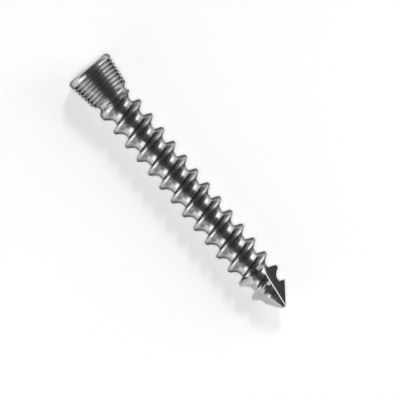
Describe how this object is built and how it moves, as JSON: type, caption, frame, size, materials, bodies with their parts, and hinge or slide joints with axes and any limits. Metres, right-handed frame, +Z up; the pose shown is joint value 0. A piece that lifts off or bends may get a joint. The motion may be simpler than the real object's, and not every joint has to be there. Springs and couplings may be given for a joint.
{
  "type": "orthopedic locking bone screw",
  "caption": "Cancellous bone screw with a conical threaded locking head, a necked shaft, a deep buttress thread and a fluted self-tapping tip, lying on its side.",
  "frame": {"origin": "on the surface that the screw lies on, under the middle of its box", "axes": "+X along the screw from the head to the tip, +Z up. The screw lies on its rim and thread, so its own axis dips by about 1.1 degrees towards the tip."},
  "size_m": [0.0302, 0.0048, 0.0049],
  "materials": {
    "implant_steel": "turned and electropolished stainless implant steel, satin to bright, dark grey in reflection"
  },
  "bodies": {
    "root": {"bone_screw": "implant_steel"}
  },
  "joints": []
}
